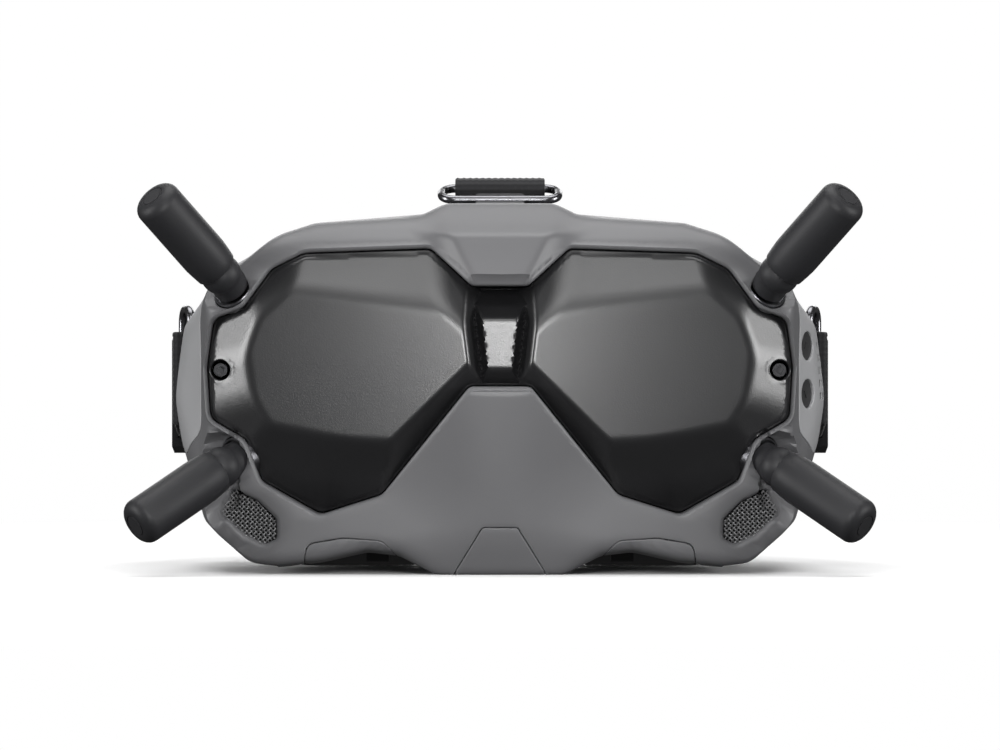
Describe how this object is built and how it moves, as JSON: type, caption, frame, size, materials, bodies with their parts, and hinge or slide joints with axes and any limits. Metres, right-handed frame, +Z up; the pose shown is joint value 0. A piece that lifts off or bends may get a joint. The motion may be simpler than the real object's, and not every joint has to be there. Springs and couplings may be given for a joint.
{
  "type": "fpv goggles",
  "caption": "Video goggles for flying a model aircraft, with a removable front mask, folding antennas, sliding eyepieces, a foam face pad and an elastic headband.",
  "frame": {"origin": "under the middle of the whole object's bounding box, on the surface it stands on", "axes": "+Z up; the wearer looks along -Y, so the front mask faces -Y; +X to the right as seen from the front"},
  "size_m": [0.2096, 0.1972, 0.1133],
  "materials": {
    "shell": "fine satin moulded texture, mid grey",
    "side_cover": "fine satin moulded texture, mid grey",
    "mask": "fine grained satin black",
    "rear": "satin dark grey",
    "hood": "soft touch matt black",
    "foam": "knitted black cover on foam",
    "mast": "satin charcoal",
    "dark_metal": "blackened metal",
    "loop_metal": "dark polished wire",
    "strap": "ribbed black elastic",
    "mesh": "woven black mesh",
    "board": "green laminate",
    "heat_sink": "extruded",
    "fan": "black moulded",
    "lens": "coated optical",
    "display": "black panel",
    "control": "satin dark grey",
    "lamp": "lamp board with a red diffuser"
  },
  "bodies": {
    "housing": {"main_shell": "shell", "front_mask": "mask", "mask_screws": "dark_metal", "left_side_cover": "side_cover", "right_side_cover": "side_cover", "channel_display": "lamp", "nose_hatch": "shell", "bottom_trims": "shell", "rear_shell": "rear", "eyepiece_plate": "control", "left_face_frame": "hood", "right_face_frame": "hood", "face_foam": "foam", "mainboard": "board", "board_screws": "dark_metal", "heat_sink": "heat_sink", "fan_housing": "fan", "guide_rods": "dark_metal", "proximity_sensor": "display", "power_jack": "control", "audio_jack": "control", "usb_port": "dark_metal", "card_slot": "dark_metal", "joystick_base": "control", "headband": "strap", "top_strap": "strap", "strap_adjusters": "mast", "loop_clips": "rear", "air_meshes": "mesh", "antenna_sockets": "dark_metal"},
    "upper_left_base": {"upper_left_knuckle": "mast", "upper_left_fold_pin": "dark_metal"},
    "upper_left_mast": {"upper_left_mast": "mast"},
    "lower_left_base": {"lower_left_knuckle": "mast", "lower_left_fold_pin": "dark_metal"},
    "lower_left_mast": {"lower_left_mast": "mast"},
    "left_carriage": {"left_lens_carriage": "control", "left_eyepiece_lens": "lens", "left_display_panel": "display"},
    "left_loop": {"left_loop": "loop_metal"},
    "upper_right_base": {"upper_right_knuckle": "mast", "upper_right_fold_pin": "dark_metal"},
    "upper_right_mast": {"upper_right_mast": "mast"},
    "lower_right_base": {"lower_right_knuckle": "mast", "lower_right_fold_pin": "dark_metal"},
    "lower_right_mast": {"lower_right_mast": "mast"},
    "right_carriage": {"right_lens_carriage": "control", "right_eyepiece_lens": "lens", "right_display_panel": "display"},
    "right_loop": {"right_loop": "loop_metal"},
    "top_loop": {"top_loop": "loop_metal"},
    "fan": {"fan_impeller": "fan"},
    "record_button": {"record_button": "control"},
    "back_button": {"back_button": "control"},
    "channel_up_button": {"channel_up_button": "control"},
    "channel_down_button": {"channel_down_button": "control"},
    "link_button": {"link_button": "control"},
    "joystick_gimbal": {"joystick_gimbal": "control"},
    "joystick_stem": {"joystick_stem": "control"},
    "joystick_cap": {"joystick_cap": "control"}
  },
  "joints": [
    {"name": "upper_left_swivel", "type": "hinge", "parent": "housing", "child": "upper_left_base", "pos_m": [-0.0745, -0.07308, 0.07984], "axis": [-0.4826, -0.6691, 0.5651], "range_deg": [-90, 90]},
    {"name": "upper_left_fold", "type": "hinge", "parent": "upper_left_base", "child": "upper_left_mast", "pos_m": [-0.07807, -0.07803, 0.08402], "axis": [-0.7604, 0, -0.6494], "range_deg": [-45, 22]},
    {"name": "lower_left_swivel", "type": "hinge", "parent": "housing", "child": "lower_left_base", "pos_m": [-0.0732, -0.07108, 0.03244], "axis": [-0.6633, -0.6691, -0.3351], "range_deg": [-90, 90]},
    {"name": "lower_left_fold", "type": "hinge", "parent": "lower_left_base", "child": "lower_left_mast", "pos_m": [-0.07811, -0.07603, 0.02996], "axis": [0.6841, -0.3607, -0.634], "range_deg": [-40, 18]},
    {"name": "left_eye_slide", "type": "slide", "parent": "housing", "child": "left_carriage", "axis": [1, 0, 0], "range_m": [-0.003, 0.003]},
    {"name": "left_loop_pivot", "type": "hinge", "parent": "housing", "child": "left_loop", "pos_m": [-0.0892, -0.03028, 0.05644], "axis": [0, 0, 1], "range_deg": [-12, 35], "deforming": ["headband"]},
    {"name": "upper_right_swivel", "type": "hinge", "parent": "housing", "child": "upper_right_base", "pos_m": [0.0745, -0.07308, 0.07984], "axis": [-0.4826, 0.6691, -0.5651], "range_deg": [-90, 90]},
    {"name": "upper_right_fold", "type": "hinge", "parent": "upper_right_base", "child": "upper_right_mast", "pos_m": [0.07807, -0.07803, 0.08402], "axis": [-0.7604, 0, 0.6494], "range_deg": [-45, 22]},
    {"name": "lower_right_swivel", "type": "hinge", "parent": "housing", "child": "lower_right_base", "pos_m": [0.0732, -0.07108, 0.03244], "axis": [-0.6633, 0.6691, 0.3351], "range_deg": [-90, 90]},
    {"name": "lower_right_fold", "type": "hinge", "parent": "lower_right_base", "child": "lower_right_mast", "pos_m": [0.07811, -0.07603, 0.02996], "axis": [0.6841, 0.3607, 0.634], "range_deg": [-40, 18]},
    {"name": "right_eye_slide", "type": "slide", "parent": "housing", "child": "right_carriage", "axis": [1, 0, 0], "range_m": [-0.003, 0.003]},
    {"name": "right_loop_pivot", "type": "hinge", "parent": "housing", "child": "right_loop", "pos_m": [0.0892, -0.03028, 0.05644], "axis": [0, 0, -1], "range_deg": [-12, 35], "deforming": ["headband"]},
    {"name": "top_loop_pivot", "type": "hinge", "parent": "housing", "child": "top_loop", "pos_m": [0, -0.02808, 0.10644], "axis": [1, 0, 0], "range_deg": [-18, 35], "deforming": ["top_strap"]},
    {"name": "fan_spin", "type": "hinge", "parent": "housing", "child": "fan", "pos_m": [0, -0.03808, 0.08864], "axis": [0, 0, 1], "continuous": true},
    {"name": "record_button_press", "type": "slide", "parent": "housing", "child": "record_button", "axis": [0, -0.1826, -0.9832], "range_m": [0, 0.0008], "stiffness_N_per_m": 1500},
    {"name": "back_button_press", "type": "slide", "parent": "housing", "child": "back_button", "axis": [0, -0.1826, -0.9832], "range_m": [0, 0.0008], "stiffness_N_per_m": 1500},
    {"name": "channel_up_button_press", "type": "slide", "parent": "housing", "child": "channel_up_button", "axis": [-0.8944, 0.4472, 0], "range_m": [0, 0.0007], "stiffness_N_per_m": 1500},
    {"name": "channel_down_button_press", "type": "slide", "parent": "housing", "child": "channel_down_button", "axis": [-0.8944, 0.4472, 0], "range_m": [0, 0.0007], "stiffness_N_per_m": 1500},
    {"name": "link_button_press", "type": "slide", "parent": "housing", "child": "link_button", "axis": [0, 0, 1], "range_m": [0, 0.0006], "stiffness_N_per_m": 1500},
    {"name": "joystick_up_down", "type": "hinge", "parent": "housing", "child": "joystick_gimbal", "pos_m": [-0.05, -0.03408, 0.09144], "axis": [1, 0, 0], "range_deg": [-10, 10], "stiffness_Nm_per_rad": 0.02},
    {"name": "joystick_left_right", "type": "hinge", "parent": "joystick_gimbal", "child": "joystick_stem", "pos_m": [-0.05, -0.03408, 0.09144], "axis": [0, 1, 0], "range_deg": [-10, 10], "stiffness_Nm_per_rad": 0.02},
    {"name": "joystick_press", "type": "slide", "parent": "joystick_stem", "child": "joystick_cap", "axis": [0, 0, -1], "range_m": [0, 0.0008], "stiffness_N_per_m": 1500}
  ]
}
